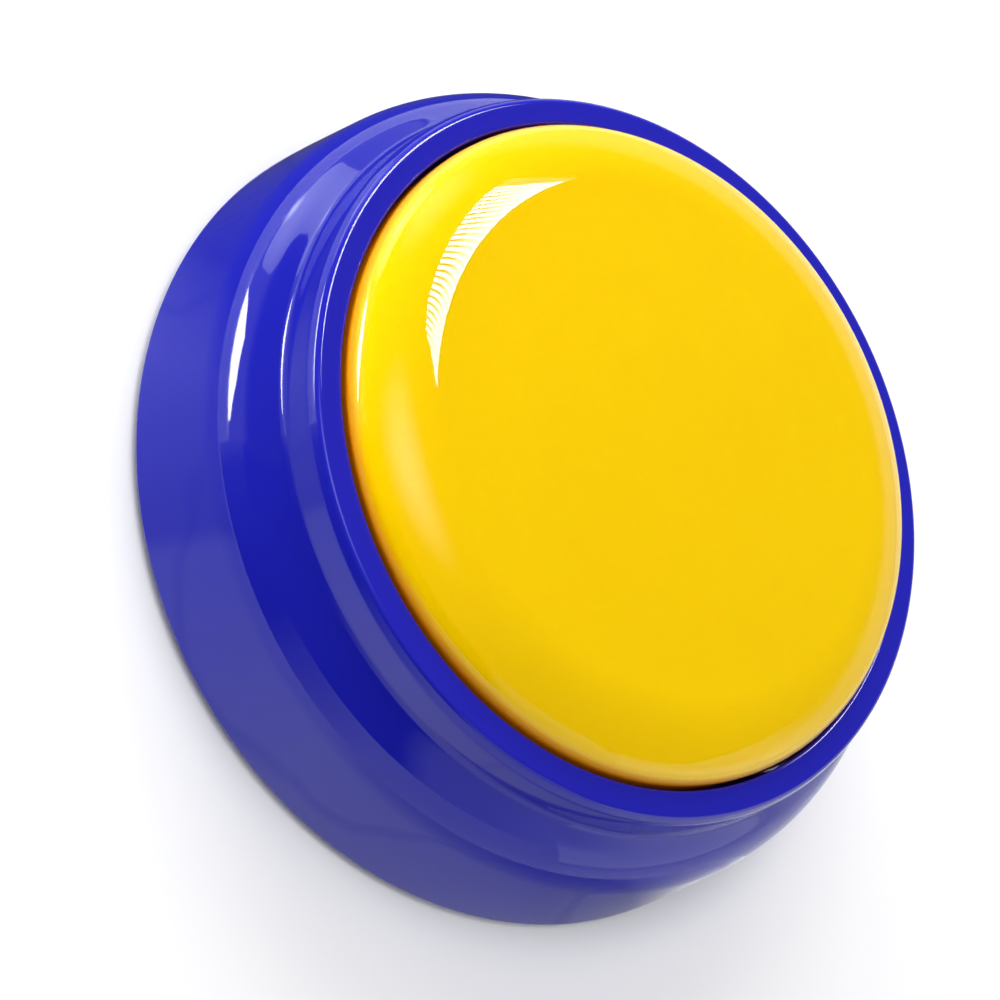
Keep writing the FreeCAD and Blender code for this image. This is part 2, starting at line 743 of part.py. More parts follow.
def board_screws():
    screws = []
    for angle in BOARD_POSTS:
        x, y = polar("board_hole_ring", angle)
        screws.append(screw("board_screw_%d" % angle, x, y, "board_screw_shank", BOARD_TOP,
                            "board_level - board_screw_deep", "board_head_radius",
                            BOARD_TOP + " + board_head_thick"))
    return grouped("board_screws", screws)


def sound_chip():
    """The sound chip under its bead of black epoxy."""
    chip = turned("sound_chip", [("0", BOARD_TOP + " + chip_tall", "7.5"),
                                 ("chip_radius - 0.2", BOARD_TOP + " + 0.3"),
                                 ("chip_radius", BOARD_TOP), ("0", BOARD_TOP)])
    return place(chip, "chip_x", "chip_y", "0")


def board_capacitor():
    """A low electrolytic capacitor: a can with a rounded rim on a short plastic base."""
    top = BOARD_TOP + " + capacitor_tall"
    can = turned("board_capacitor", [
        ("0", top), ("capacitor_radius - 0.3", top), ("capacitor_radius", top + " - 0.3"),
        ("capacitor_radius", BOARD_TOP + " + 1.3"), ("capacitor_radius - 0.2", BOARD_TOP + " + 1.1"),
        ("capacitor_radius", BOARD_TOP + " + 0.9"), ("capacitor_radius", BOARD_TOP), ("0", BOARD_TOP)])
    return place(can, "capacitor_x", "capacitor_y", "0")


def chip_resistors():
    """Four small surface-mounted resistors in a row."""
    row = []
    for number in range(4):
        row.append(block("resistor_%d" % number, "resistor_x + resistor_pitch * %d" % number, "resistor_y",
                         "1.25", "2", BOARD_TOP, BOARD_TOP + " + 0.5"))
    return grouped("chip_resistors", row)


def drive_transistor():
    """The small transistor that drives the speaker: a moulded body on three feet."""
    pieces = [block("transistor_body", "transistor_x", "transistor_y", "2.9", "1.3", BOARD_TOP + " + 0.15",
                    BOARD_TOP + " + 1.1")]
    for number, (across, along) in enumerate((("-0.95", "-1"), ("0.95", "-1"), ("0", "1"))):
        pieces.append(block("transistor_foot_%d" % number, "transistor_x + (%s)" % across,
                            "transistor_y + (%s)" % along, "0.4", "1", BOARD_TOP, BOARD_TOP + " + 0.3"))
    return joined("drive_transistor", pieces)


# ---- speaker

FLANGE_LEVEL = "speaker_seat_top + gasket_thick"
FLANGE_TOP = FLANGE_LEVEL + " + flange_thick"


def speaker_gasket():
    disc = rod("gasket_disc", "0", "speaker_y", "speaker_radius", "speaker_seat_top", FLANGE_LEVEL)
    hole = rod("gasket_hole", "0", "speaker_y", "speaker_seat_inner", "speaker_seat_top", FLANGE_LEVEL)
    return less("speaker_gasket", disc, [hole])


def speaker_frame():
    """A pressed steel basket: flat flange, conical wall and the back ring that holds the magnet."""
    frame = turned("speaker_frame", [
        ("speaker_seat_inner", FLANGE_LEVEL),
        ("speaker_radius", FLANGE_LEVEL),
        ("speaker_radius", FLANGE_TOP),
        ("speaker_seat_inner + basket_thick", FLANGE_TOP),
        ("basket_back_radius + basket_thick", "speaker_back"),
        ("magnet_radius - 1.5", "speaker_back"),
        ("magnet_radius - 1.5", "speaker_back - basket_thick"),
        ("basket_back_radius", "speaker_back - basket_thick"),
        ("speaker_seat_inner", FLANGE_TOP),
    ])
    return place(frame, "0", "speaker_y", "0")


def speaker_cone():
    """The plastic film cone: a flat edge glued inside the flange, a slope and a domed middle."""
    edge = FLANGE_LEVEL + " + 0.1"
    middle = "speaker_back - basket_thick - 1.4"
    cone = turned("speaker_cone", [
        ("speaker_seat_inner - 0.05", edge),
        ("speaker_seat_inner - 0.05", edge + " + cone_thick"),
        ("speaker_seat_inner - 1.6", edge + " + cone_thick"),
        ("5.2", middle + " + cone_thick"),
        ("5", middle + " + 1"),
        ("4.7", middle + " + 1"),
        ("4.7", middle + " + cone_thick"),
        ("2.6", middle + " + cone_thick - 1"),
        ("0", middle + " + cone_thick - 1.3"),
        ("0", middle + " - 1.3"),
        ("2.6", middle + " - 1"),
        ("4.9", middle),
        ("speaker_seat_inner - 1.7", edge),
    ])
    return place(cone, "0", "speaker_y", "0")


def speaker_magnet():
    magnet = turned("speaker_magnet", [
        ("0", "speaker_back"), ("magnet_radius", "speaker_back"), ("magnet_radius", "magnet_top - 0.5"),
        ("magnet_radius - 0.5", "magnet_top"), ("0", "magnet_top")])
    return place(magnet, "0", "speaker_y", "0")


def speaker_terminal():
    """The small fibre strip on the flange that the leads are soldered to."""
    strip = doc.addObject("Part::Box", "speaker_terminal")
    bind(strip, Length="terminal_long", Width="terminal_wide", Height="terminal_thick")
    strip.Placement = FreeCAD.Placement(FreeCAD.Vector(), FreeCAD.Rotation(Z_AXIS, TERMINAL_ANGLE))
    x, y = terminal_point("terminal_ring - terminal_long / 2", "-terminal_wide / 2")
    return bind(strip, Placement__Base__x=x, Placement__Base__y=y, Placement__Base__z=FLANGE_TOP)


def terminal_point(out, along):
    """A point near the terminal strip: out from the speaker's axis, and along the strip."""
    parts = (out, TERMINAL_ANGLE, along, TERMINAL_ANGLE)
    return ("(%s) * cos(%ddeg) - (%s) * sin(%ddeg)" % parts,
            "speaker_y + (%s) * sin(%ddeg) + (%s) * cos(%ddeg)" % parts)


def speaker_screws():
    """Two washer-head screws whose heads overlap the speaker's flange."""
    screws = []
    for side in (-1, 1):
        screws.append(screw("speaker_screw_%d" % (side + 1), "%d * clamp_reach" % side, "speaker_y",
                            "board_screw_shank", "fence_top", "foot_proud + 1", "clamp_head_radius",
                            "fence_top + clamp_head_thick"))
    return grouped("speaker_screws", screws)


# ---- batteries and their contacts

def battery_cell(name, side):
    """A small cylindrical cell whose positive nub points along side * X."""
    y = "bay_middle - %d * cell_spread" % side
    left = "%d * cell_shift - cell_long / 2" % side
    can = bar(name + "_can", left, y, "cell_level", "cell_radius", "cell_long")
    nub_left = "%d * cell_shift + cell_long / 2" % side if side > 0 else left + " - nub_long"
    nub = bar(name + "_nub", nub_left, y, "cell_level", "nub_radius", "nub_long")
    return joined(name, [can, nub])


def contact_plate(name, side, cell_side, lug):
    """A plate against one end wall of the bay, with a solder lug through the wall when asked."""
    x = "%d * (bay_long - contact_thick) / 2" % side
    y = "bay_middle - %d * cell_spread" % cell_side
    parts = [block(name + "_plate", x, y, "contact_thick", "contact_wide", "contact_foot",
                   "contact_foot + contact_tall")]
    if lug:
        parts.append(block(name + "_lug", "bay_long / 2 - contact_thick + lug_long / 2", y, "lug_long",
                           "lug_wide", "lug_level", "lug_level + contact_thick"))
    return parts


def dimple(name, side, cell_side):
    """The raised disc on a plate that a cell's positive nub touches."""
    inner = "bay_long / 2 - contact_thick"
    left = inner + " - contact_rise" if side > 0 else "-(%s)" % inner
    return bar(name + "_dimple", left, "bay_middle - %d * cell_spread" % cell_side, "cell_level",
               "nub_radius + 0.4", "contact_rise")


def positive_contact():
    parts = contact_plate("positive_contact", 1, 1, True) + [dimple("positive_contact", 1, 1)]
    return joined("positive_contact", parts)


def negative_contact():
    return joined("negative_contact", contact_plate("negative_contact", 1, -1, True))


def bridge_contact():
    """One strip across both cells at the end away from the door screw."""
    strip = block("bridge_strip", "-(bay_long - contact_thick) / 2", "bay_middle", "contact_thick",
                  "2 * cell_spread + contact_wide", "contact_foot + 1.2", "contact_foot + contact_tall")
    return joined("bridge_contact", [strip, dimple("bridge_contact", -1, -1)])


def contact_coils():
    """The tapered coils that press on the cells' flat negative ends."""
    coils = []
    for side in (-1, 1):
        tall = "bay_long / 2 - contact_thick - (cell_long / 2 - cell_shift) - 2 * coil_wire - 0.1"
        x = "%d * (bay_long / 2 - contact_thick - coil_wire - 0.05)" % side
        turn = FreeCAD.Rotation(FreeCAD.Vector(0, 1, 0), -90 * side)
        coils.append(coil("coil_%d" % (side + 1), x, "bay_middle + %d * cell_spread" % side, "cell_level",
                          "coil_big", "coil_wire", tall, "coil_turns", -math.degrees(math.atan(
                              (value("coil_big") - value("coil_small")) / value(tall))), turn))
    return grouped("contact_coils", coils)


def battery_door():
    """The flat door: two hooked tabs at one end, a screw hole at the other, and grip grooves."""
    middle = "(door_left + door_right) / 2"
    solids = [block("door_plate", middle, "bay_middle", "door_right - door_left", "door_wide", "foot_proud",
                    "foot_proud + door_thick")]
    for side in (-1, 1):
        y = "bay_middle + %d * tab_spread" % side
        solids.append(block("tab_stem_%d" % (side + 1), "(door_left + 0.1 + tab_root) / 2", y,
                            "tab_root - door_left - 0.1", "tab_wide", "foot_proud + door_thick", "tab_top"))
        solids.append(block("tab_hook_%d" % (side + 1), "(tab_tip + tab_root) / 2", y, "tab_root - tab_tip",
                            "tab_wide", "tab_foot", "tab_top"))
    hollows = [rod("door_screw_hole", "door_screw_x", "bay_middle", "door_screw_shank + 0.1", "0",
                   "foot_proud + door_thick"),
               rod("door_screw_sink", "door_screw_x", "bay_middle", "door_head_radius + 0.2", "0",
                   "foot_proud + door_head_thick + 0.1")]
    for number in range(4):
        hollows.append(block("grip_%d" % number, "22 + 1.5 * %d" % number, "bay_middle", "0.7", "9",
                             "foot_proud", "foot_proud + 0.4"))
    return less("battery_door", joined("door_solids", solids), hollows)


def battery_door_screw():
    seat = "foot_proud + door_head_thick + 0.1"
    return screw("battery_door_screw", "door_screw_x", "bay_middle", "door_screw_shank", seat,
                 "door_screw_tip", "door_head_radius", seat + " - door_head_thick")


# ---- power switch

SWITCH_FLOOR = FLOOR_TOP + " + 0.05"


def switch_housing():
    """A steel can open below, over the slider's carrier."""
    can = block("switch_can", "0", "switch_y", "switch_long", "switch_wide", SWITCH_FLOOR, "switch_top")
    room = block("switch_room", "0", "switch_y", "switch_long - 2 * switch_wall",
                 "switch_wide - 2 * switch_wall", SWITCH_FLOOR, "carrier_top + 0.2")
    return less("switch_housing", can, [room])


def switch_slider():
    """The knob and its carrier, drawn at the off end of its travel."""
    x = "-switch_travel / 2"
    knob = block("switch_knob", x, "switch_y", "knob_long", "knob_wide", "knob_foot", "carrier_top")
    carrier = block("switch_carrier", x, "switch_y", "carrier_long", "switch_wide - 2 * switch_wall - 0.2",
                    SWITCH_FLOOR + " + 0.1", "carrier_top")
    return joined("switch_slider", [knob, carrier])


def switch_pins():
    pins = []
    for step in (-1, 0, 1):
        pins.append(block("switch_pin_%d" % (step + 1), "%d * pin_pitch" % step, "switch_y", "0.8", "0.4",
                          "switch_top", "pin_top"))
    return grouped("switch_pins", pins)


# ---- insulated leads

def lead(name, route):
    """A round lead along straight runs joined by tangent arcs, each as large as its runs allow."""
    spots = [FreeCAD.Vector(value(x), value(y), value(z)) for x, y, z in route]
    edges, start = [], spots[0]
    for before, here, after in zip(spots, spots[1:], spots[2:]):
        back, on = (before - here), (after - here)
        reach = 0.45 * min(back.Length, on.Length)
        enter = here + back.normalize() * reach
        leave = here + on.normalize() * reach
        half = (back.getAngle(on)) / 2
        bend = reach * math.tan(half)
        centre_way = (back + on).normalize()
        middle = here + centre_way * (bend / math.sin(half) - bend)
        edges += [Part.LineSegment(start, enter).toShape(), Part.Arc(enter, middle, leave).toShape()]
        start = leave
    edges.append(Part.LineSegment(start, spots[-1]).toShape())
    path = Part.Wire(edges)
    way = (spots[1] - spots[0]).normalize()
    ring = Part.Wire([Part.makeCircle(value("lead_radius"), spots[0], way)])
    thing = doc.addObject("Part::Feature", name)
    thing.Shape = path.makePipeShell([ring], True, True)
    section = math.pi * value("lead_radius") ** 2
    print("%s: volume %.3f, section times length %.3f" % (name, thing.Shape.Volume, section * path.Length))
    return thing


def leads():
    lug_x = "bay_long / 2 - contact_thick + lug_long - 0.6"
    lug_z = "lug_level + contact_thick + lead_radius + 0.02"
    board_z = "board_level - 0.15"
    plus_y = "bay_middle - cell_spread"
    minus_y = "bay_middle + cell_spread"
    strip_top = FLANGE_TOP + " + terminal_thick + 0.02"
    red_x, red_y = terminal_point("terminal_ring", "1.6")
    black_x, black_y = terminal_point("terminal_ring", "-1.6")
    return [
        lead("battery_lead_red", [
            (lug_x, plus_y, lug_z), ("29.7", plus_y + " - 4", "8.4"), ("26", "-18", "8.5"),
            ("14", "-23", "8.6"), ("pin_pitch + 0.45", "switch_y", "8.2")]),
        lead("battery_lead_black", [
            (lug_x, minus_y, lug_z), ("29.8", minus_y + " - 3.5", "11"), ("29.4", "-8", "12"),
            ("28.2", "-15.4", "12"), ("21", "-18", "12"), ("9.6", "-18.4", "12.6"),
            ("9.2", "-17.6", board_z)]),
        lead("switch_lead", [
            ("0", "switch_y - 0.5", "8.2"), ("-1.5", "switch_y - 2.6", "9.4"), ("-8.4", "-24.5", "11.4"),
            ("-9.2", "-17.9", "13"), ("-9.2", "-17.6", board_z)]),
        lead("speaker_lead_red", [
            (red_x, red_y, strip_top), (red_x, red_y, "8.6"), ("8.6", "16.9", "11.8"),
            ("8.6", "16.9", board_z)]),
        lead("speaker_lead_black", [
            (black_x, black_y, strip_top), (black_x, black_y, "8.6"), ("5.4", "15.2", "11.8"),
            ("5.4", "15.2", board_z)]),
    ]


# ---- everything

def check(parts):
    """Stops when anything in the document failed, or a piece has no sound shape."""
    doc.recompute()
    for thing in doc.Objects:
        if "Invalid" in thing.State or "Error" in thing.State:
            raise RuntimeError("%s: %s" % (thing.Name, thing.State))
    for part in parts:
        if part.Shape.isNull() or not part.Shape.isValid():
            raise RuntimeError(part.Label + " has no sound shape")


def export(parts):
    os.makedirs("parts", exist_ok=True)
    for part in parts:
        part.Shape.exportStep("parts/%s.step" % part.Label)
        print("%-20s %d solid(s), %.1f mm3" % (part.Label, len(part.Shape.Solids), part.Shape.Volume))


def main():
    fill_sheet()
    parts = [
        top_case(), bottom_case(), rubber_feet(), case_screws(), push_cap(), return_springs(),
        contact_dome(), circuit_board(), board_screws(), sound_chip(), board_capacitor(),
        chip_resistors(), drive_transistor(), speaker_gasket(), speaker_frame(), speaker_cone(),
        speaker_magnet(), speaker_terminal(), speaker_screws(), battery_cell("battery_cell_1", 1),
        battery_cell("battery_cell_2", -1), positive_contact(), negative_contact(), bridge_contact(),
        contact_coils(), battery_door(), battery_door_screw(), switch_housing(), switch_slider(),
        switch_pins(),
    ] + leads()
    check(parts)
    export(parts)


main()
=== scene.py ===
import json
import math

import bmesh
import bpy
from mathutils import Matrix, Vector


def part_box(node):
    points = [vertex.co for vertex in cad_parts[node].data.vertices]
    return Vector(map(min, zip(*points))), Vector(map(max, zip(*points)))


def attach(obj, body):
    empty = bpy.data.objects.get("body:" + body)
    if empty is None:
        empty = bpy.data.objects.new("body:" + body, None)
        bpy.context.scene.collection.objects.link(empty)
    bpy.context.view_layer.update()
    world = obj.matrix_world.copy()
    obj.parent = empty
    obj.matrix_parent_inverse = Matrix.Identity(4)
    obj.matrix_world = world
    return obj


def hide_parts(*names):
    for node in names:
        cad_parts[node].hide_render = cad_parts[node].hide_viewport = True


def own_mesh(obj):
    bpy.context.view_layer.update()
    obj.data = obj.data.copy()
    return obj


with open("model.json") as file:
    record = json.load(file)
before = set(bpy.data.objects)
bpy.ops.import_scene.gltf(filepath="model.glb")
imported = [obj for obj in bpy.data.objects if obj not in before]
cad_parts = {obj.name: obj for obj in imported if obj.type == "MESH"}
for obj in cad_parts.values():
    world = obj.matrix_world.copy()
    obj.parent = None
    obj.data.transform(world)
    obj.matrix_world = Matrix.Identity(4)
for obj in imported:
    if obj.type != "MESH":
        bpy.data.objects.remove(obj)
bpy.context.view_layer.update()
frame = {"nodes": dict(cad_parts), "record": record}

# A round quiz buzzer: a glossy blue case, a glossy yellow cap, and what shows underneath.
# Lengths are metres; MM writes the small ones.  +Z is up, and the feet stand on z = 0.

MM = 0.001
ROUND_STEPS = 320                    # facets round a turned surface
ARC_STEP = math.radians(3)           # facets along a rounded edge
ON_AXIS = 1e-7                       # a radius below this is on the axis
LIGHT_CENTRE = 20 * MM               # the lights aim at this level

case_low, case_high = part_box("top_case")
cap_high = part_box("push_cap")[1]

CASE_FOOT = case_low.z
BEZEL_LEVEL = case_high.z
CAP_TOP = cap_high.z
CAP_RADIUS = cap_high.x


# ---- meshes

def new_piece(name, mesh, body, replaced, material):
    """Puts a mesh in the scene, on a CAD body, in place of the CAD nodes that it stands for."""
    piece = bpy.data.objects.new(name, mesh)
    bpy.context.scene.collection.objects.link(piece)
    mesh.materials.append(material)
    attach(piece, body)
    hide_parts(*replaced)
    return piece


def fillet_points(before, corner, after, radius):
    """Points along the arc that rounds a corner."""
    back = (before - corner).normalized()
    ahead = (after - corner).normalized()
    half = back.angle(ahead) / 2
    centre = corner + (back + ahead).normalized() * (radius / math.sin(half))
    start = corner + back * (radius / math.tan(half)) - centre
    turn = math.pi - 2 * half
    side = 1 if back.x * ahead.y - back.y * ahead.x < 0 else -1
    steps = max(4, math.ceil(turn / ARC_STEP))
    points = []
    for step in range(steps + 1):
        angle = side * turn * step / steps
        points.append(centre + Vector((start.x * math.cos(angle) - start.y * math.sin(angle),
                                       start.x * math.sin(angle) + start.y * math.cos(angle))))
    return points


def outline(corners):
    """A closed outline from (radius, level, rounding) corners."""
    spots = [Vector(corner[:2]) for corner in corners]
    points = []
    for number, (_, _, rounding) in enumerate(corners):
        if rounding == 0:
            points.append(spots[number])
            continue
        after = spots[(number + 1) % len(spots)]
        points += fillet_points(spots[number - 1], spots[number], after, rounding)
    return points


def arc_points(start, end, radius):
    """Points along a short arc from start to end that bulges to the left, ends left out."""
    start, end = Vector(start), Vector(end)
    chord = end - start
    half = chord.length / 2
    left = Vector((-chord.y, chord.x)).normalized()
    centre = (start + end) / 2 - left * math.sqrt(radius * radius - half * half)
    turn = 2 * math.asin(half / radius)
    steps = max(3, math.ceil(turn / ARC_STEP * 2))
    arm = start - centre
    points = []
    for step in range(1, steps):
        angle = -turn * step / steps
        points.append(centre + Vector((arm.x * math.cos(angle) - arm.y * math.sin(angle),
                                       arm.x * math.sin(angle) + arm.y * math.cos(angle))))
    return points


def spaced(points, most=0.5 * MM):
    """The closed outline again, with its long straight runs divided so that shading stays true."""
    result = []
    for number, point in enumerate(points):
        after = points[(number + 1) % len(points)]
        parts = max(1, math.ceil((after - point).length / most))
        on_axis = point.x < ON_AXIS and after.x < ON_AXIS
        result += [point] if on_axis else [point.lerp(after, part / parts) for part in range(parts)]
    return result


def lathe(name, points, steps=ROUND_STEPS):
    """A closed mesh made by turning a closed outline of (radius, level) about the middle axis."""
    mesh = bpy.data.meshes.new(name)
    bm = bmesh.new()
    rings = []
    for radius, level in points:
        if radius < ON_AXIS:
            rings.append([bm.verts.new((0, 0, level))])
            continue
        ring = []
        for step in range(steps):
            angle = 2 * math.pi * step / steps
            ring.append(bm.verts.new((radius * math.cos(angle), radius * math.sin(angle), level)))
        rings.append(ring)
    for number, ring in enumerate(rings):
        other = rings[(number + 1) % len(rings)]
        if len(ring) == 1 and len(other) == 1:
            continue
        for step in range(steps):
            after = (step + 1) % steps
            corners = [ring[0]] if len(ring) == 1 else [ring[step], ring[after]]
            corners += [other[0]] if len(other) == 1 else [other[after], other[step]]
            bm.faces.new(corners)
    bmesh.ops.recalc_face_normals(bm, faces=bm.faces)
    bm.to_mesh(mesh)
    bm.free()
    return mesh


def smooth(piece, degrees=35):
    """Smooth shading that keeps the sharp edges and flat faces."""
    piece.data.shade_smooth()
    piece.data.set_sharp_from_angle(angle=math.radians(degrees))


# ---- materials

def map_range(tree, source, start, stop, low, high, kind="SMOOTHSTEP"):
    """Maps a value's range from start to stop to the range from low to high."""
    node = tree.nodes.new("ShaderNodeMapRange")
    node.interpolation_type = kind
    for key, value in (("From Min", start), ("From Max", stop), ("To Min", low), ("To Max", high)):
        node.inputs[key].default_value = value
    tree.links.new(source, node.inputs["Value"])
    return node.outputs["Result"]


def maths(tree, operation, first, second):
    """One arithmetic node; each side is a socket or a number."""
    node = tree.nodes.new("ShaderNodeMath")
    node.operation = operation
    for socket, value in zip(node.inputs, (first, second)):
        if isinstance(value, (int, float)):
            socket.default_value = value
        else:
            tree.links.new(value, socket)
    return node.outputs[0]


class Nodes:
    """A short way to write a node material round one Principled shader."""

    def __init__(self, name):
        self.material = bpy.data.materials.new(name)
        self.material.use_nodes = True
        self.tree = self.material.node_tree
        self.shader = self.tree.nodes["Principled BSDF"]

    def set(self, **values):
        for key, value in values.items():
            self.shader.inputs[key.replace("_", " ")].default_value = value

    def add(self, kind, **settings):
        node = self.tree.nodes.new(kind)
        for key, value in settings.items():
            if hasattr(node, key):
                setattr(node, key, value)
            else:
                node.inputs[key.replace("_", " ")].default_value = value
        return node

    def link(self, source, target):
        self.tree.links.new(source, target)

    def place(self):
        """The place of a point on the object itself, in metres."""
        return self.add("ShaderNodeTexCoord").outputs["Object"]

    def noise(self, scale, detail=2.0, roughness=0.5, vector=None):
        node = self.add("ShaderNodeTexNoise", Scale=scale, Detail=detail, Roughness=roughness)
        self.link(vector or self.place(), node.inputs["Vector"])
        return node.outputs["Fac"]

    def spread(self, source, low, high, start=0.0, stop=1.0):
        """Maps a pattern's range from start to stop to the range from low to high."""
        return map_range(self.tree, source, start, stop, low, high, "LINEAR")

    def tint(self, source, first, second):
        """A colour between two, by a 0 to 1 pattern."""
        ramp = self.add("ShaderNodeValToRGB")
        ramp.color_ramp.elements[0].color = (*first, 1)
        ramp.color_ramp.elements[1].color = (*second, 1)
        self.link(source, ramp.inputs["Fac"])
        return ramp.outputs["Color"]

    def mixed(self, share, first, second):
        """A pattern's colour, turned by a share into a second, fixed colour."""
        node = self.add("ShaderNodeMix", data_type="RGBA")
        self.link(share, node.inputs["Factor"])
        self.link(first, node.inputs["A"])
        node.inputs["B"].default_value = (*second, 1)
        return node.outputs["Result"]

    def luminance(self, colour):
        node = self.add("ShaderNodeRGBToBW")
        self.link(colour, node.inputs[0])
        return node.outputs[0]

    def bump(self, height, strength, distance, under=None):
        node = self.add("ShaderNodeBump")
        node.inputs["Strength"].default_value = strength
        node.inputs["Distance"].default_value = distance
        self.link(height, node.inputs["Height"])
        if under:
            self.link(under, node.inputs["Normal"])
        return node.outputs["Normal"]


BLUE = (0.009, 0.011, 0.33)
PAINTED_SHEEN_BLUE = (0.016, 0.016, 0.44)     # painted sheen: a lighter, hazier blue on the bezel's upward face
YELLOW = (0.89, 0.57, 0.0)
PAINTED_GLOW_ORANGE = (0.95, 0.27, 0.0)           # painted shade and glow on the cap's edge towards the gap, where light comes through it
DUST = (0.75, 0.75, 0.78)
ABS_IOR = 1.52


def scaled(colour, factor):
    return tuple(channel * factor for channel in colour)


def moulded(name, colour, gloss, wave, rim, **values):
    """Moulded plastic: slow colour drift, smudged gloss, soft waviness, fine orange peel and a little dust.
    Its rim, as (colour, first level, last level), turns to a second colour from one level to the other; this
    is painted light, a painted sheen on the bezel's face and painted shade and glow on the cap's edge."""
    make = Nodes(name)
    painted_rim_colour, rim_start, rim_stop = rim
    blotches = make.spread(make.noise(scale=60, detail=3), 0, 1, 0.3, 0.7)
    drift = make.tint(blotches, scaled(colour, 0.985), scaled(colour, 1.01))
    height = make.add("ShaderNodeSeparateXYZ")
    make.link(make.place(), height.inputs[0])
    # Painted light: between the rim's two levels, the colour turns to the rim's painted colour.
    drift = make.mixed(make.spread(height.outputs["Z"], 0, 1, rim_start, rim_stop), drift, painted_rim_colour)
    specks = make.add("ShaderNodeTexVoronoi", Scale=110.0, Randomness=1.0)
    make.link(make.place(), specks.inputs["Vector"])
    chosen = make.spread(make.luminance(specks.outputs["Color"]), 0, 1, 0.80, 0.81)
    dots = make.spread(specks.outputs["Distance"], 1, 0, 0.010, 0.022)
    dust = maths(make.tree, "MULTIPLY", chosen, dots)
    make.link(make.mixed(dust, drift, DUST), make.shader.inputs["Base Color"])
    smudge = make.noise(scale=140, detail=4, roughness=0.6)
    make.link(make.spread(smudge, gloss * 0.75, gloss * 1.35, 0.35, 0.7), make.shader.inputs["Roughness"])
    slow = make.bump(make.noise(scale=90, detail=1), wave, 0.04 * MM)
    peel = make.bump(make.noise(scale=2600, detail=2), 0.12, 0.0006 * MM, slow)
    make.link(make.bump(dust, 0.5, 0.04 * MM, peel), make.shader.inputs["Normal"])
    make.set(IOR=ABS_IOR, **values)
    return make.material


# Painted sheen: from 24.4 mm up, the bezel's upward face turns a lighter, hazier blue.
blue_gloss = moulded("blue_gloss_abs", BLUE, 0.035, 0.07, (PAINTED_SHEEN_BLUE, 24.4 * MM, 24.7 * MM),
                     Specular_IOR_Level=0.42)
# Painted shade and glow: from 26.4 mm down to 24.6 mm, the cap's edge turns orange towards the gap.
yellow_gloss = moulded("yellow_gloss_abs", YELLOW, 0.022, 0.06, (PAINTED_GLOW_ORANGE, 26.4 * MM, 24.6 * MM),
                       Specular_IOR_Level=0.36, Subsurface_Weight=0.3,
                       Subsurface_Radius=(1.0, 0.4, 0.02), Subsurface_Scale=2.5 * MM)


def grained(name, colour, rough, grain, depth, spread=0.12, **values):
    """Any plain stuff with a grain of its own size, in metres: uneven colour and gloss, and fine relief."""
    make = Nodes(name)
    drift = make.spread(make.noise(0.05 / grain + 80, 3), 0, 1, 0.3, 0.7)
    make.link(make.tint(drift, scaled(colour, 1 - spread), scaled(colour, 1 + spread)),
              make.shader.inputs["Base Color"])
    dull = make.spread(make.noise(0.2 / grain + 60, 4, 0.6), rough * 0.8, min(rough * 1.25, 1), 0.35, 0.7)
    make.link(dull, make.shader.inputs["Roughness"])
    relief = make.bump(make.noise(1 / grain, 3, 0.6), 0.6, depth)
    make.link(relief, make.shader.inputs["Normal"])
    make.set(**values)
    return make.material


def metal(name, colour, rough, **values):
    """Drawn or stamped metal: fine scratches along it, and dull patches."""
    make = Nodes(name)
    stretch = make.add("ShaderNodeMapping")
    stretch.inputs["Scale"].default_value = (1, 6, 6)
    make.link(make.place(), stretch.inputs["Vector"])
    scratches = make.noise(1500, 3, 0.6, stretch.outputs["Vector"])
    patches = make.noise(300, 3)
    make.link(make.tint(make.spread(patches, 0, 1, 0.35, 0.65), scaled(colour, 0.8), colour),
              make.shader.inputs["Base Color"])
    make.link(make.spread(scratches, rough * 0.6, rough * 1.5, 0.3, 0.7), make.shader.inputs["Roughness"])
    make.link(make.bump(scratches, 0.25, 0.000006), make.shader.inputs["Normal"])
    make.set(Metallic=1.0, **values)
    return make.material


def laminate(name, mask, copper):
    """A circuit board: solder mask over faint copper runs."""
    make = Nodes(name)
    runs = make.add("ShaderNodeTexBrick", Scale=140.0, Mortar_Size=0.09, Brick_Width=0.9, Row_Height=0.35)
    make.link(make.place(), runs.inputs["Vector"])
    for key, colour in (("Color1", mask), ("Color2", scaled(mask, 0.85)), ("Mortar", copper)):
        runs.inputs[key].default_value = (*colour, 1)
    make.link(runs.outputs["Color"], make.shader.inputs["Base Color"])
    make.link(make.bump(runs.outputs["Fac"], 0.3, 0.00003), make.shader.inputs["Normal"])
    make.link(make.spread(make.noise(500, 3), 0.25, 0.45), make.shader.inputs["Roughness"])
    return make.material


def jacket(name, body, band, start, stop):
    """A cell's shrink sleeve: a metallic sleeve with a plain band at one end, and worn print-free film."""
    make = Nodes(name)
    along = make.add("ShaderNodeSeparateXYZ")
    make.link(make.place(), along.inputs[0])
    edge = make.spread(along.outputs["X"], 0, 1, start, stop)
    wear = make.tint(make.spread(make.noise(220, 4), 0, 1, 0.35, 0.65), scaled(body, 0.85), body)
    make.link(make.mixed(edge, wear, band), make.shader.inputs["Base Color"])
    make.link(make.spread(make.noise(400, 4), 0.2, 0.4, 0.3, 0.7), make.shader.inputs["Roughness"])
    make.link(make.bump(make.noise(160, 2), 0.2, 0.00004), make.shader.inputs["Normal"])
    make.set(Metallic=0.6)
    return make.material


spring_metal = metal("spring_wire", (0.62, 0.62, 0.64), 0.22)
silicone = grained("grey_silicone", (0.42, 0.43, 0.44), 0.5, 0.0003, 0.000006, 0.05,
                   Subsurface_Weight=0.2, Subsurface_Scale=1 * MM)

